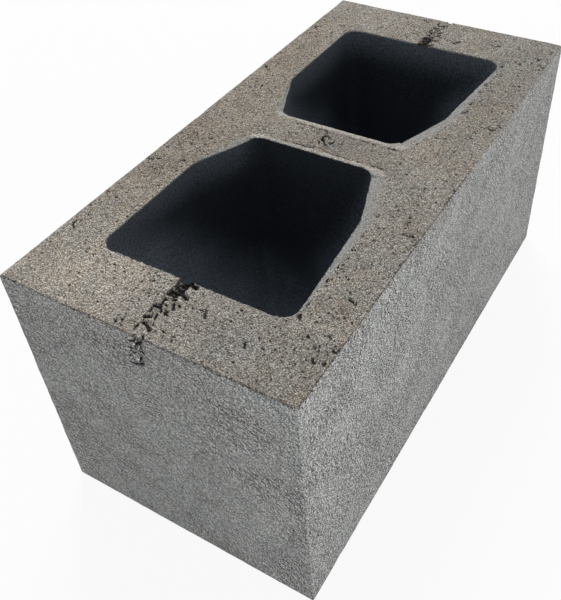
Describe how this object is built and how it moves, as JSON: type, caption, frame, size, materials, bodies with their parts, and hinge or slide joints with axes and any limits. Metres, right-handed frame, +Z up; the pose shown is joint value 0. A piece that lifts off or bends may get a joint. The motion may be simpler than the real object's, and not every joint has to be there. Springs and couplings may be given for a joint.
{
  "type": "hollow concrete block",
  "caption": "Hollow concrete masonry block, stretcher unit with square ends and tapering cores that run right through it.",
  "frame": {"origin": "middle of the lower bed face, as the block stands with its core-bar slot on top", "axes": "+X across the block from face shell to face shell, +Y along its length, +Z up out of the cores"},
  "size_m": [0.19, 0.39, 0.19],
  "materials": {
    "dry_cast_concrete": "matte"
  },
  "bodies": {
    "root": {"hollow_block": "dry_cast_concrete"}
  },
  "joints": []
}
